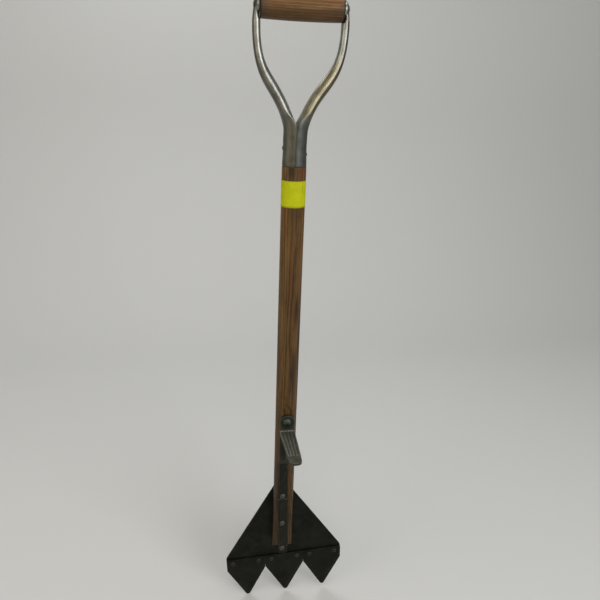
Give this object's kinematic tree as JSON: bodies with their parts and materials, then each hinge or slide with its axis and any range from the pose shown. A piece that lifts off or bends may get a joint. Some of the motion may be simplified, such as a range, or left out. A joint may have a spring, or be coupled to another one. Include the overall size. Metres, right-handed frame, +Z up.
{
  "type": "hay knife",
  "caption": "Hay knife with three riveted cutting points, an ash shaft, a ribbed foot step and a steel D handle with a turned wooden grip.",
  "frame": {"origin": "on the shaft's centre line, halfway along its bare length between the step and the socket", "axes": "+Z up along the shaft towards the grip, -Y to the front where the step and the strap are, +X to the right seen from the front"},
  "size_m": [0.2295, 0.1378, 1.0886],
  "materials": {
    "shaft_wood": "aged, satin",
    "grip_wood": "worn varnish",
    "yoke_steel": "worn, satin",
    "blade_steel": "darkened, satin",
    "strap_steel": "darkened, matte",
    "step_iron": "worn, matte",
    "fastener_steel": "darkened, satin",
    "tape_paper": "matte"
  },
  "bodies": {
    "knife": {"shaft": "shaft_wood", "d_yoke": "yoke_steel", "grip_rod": "yoke_steel", "socket_pins": "fastener_steel", "tape_band": "tape_paper", "blade_plate": "blade_steel", "left_section": "blade_steel", "center_section": "blade_steel", "right_section": "blade_steel", "left_section_rivets": "fastener_steel", "center_section_rivets": "fastener_steel", "right_section_rivets": "fastener_steel", "front_strap": "strap_steel", "shaft_rivets": "fastener_steel", "strap_foot_rivet": "fastener_steel", "foot_step": "step_iron", "step_bolt": "fastener_steel", "step_washer": "fastener_steel", "step_nut": "fastener_steel"},
    "grip": {"grip": "grip_wood"}
  },
  "joints": [
    {"name": "grip_turn", "type": "hinge", "parent": "knife", "child": "grip", "pos_m": [0.0035, 0, 0.4218], "axis": [1, 0, 0], "continuous": true}
  ]
}
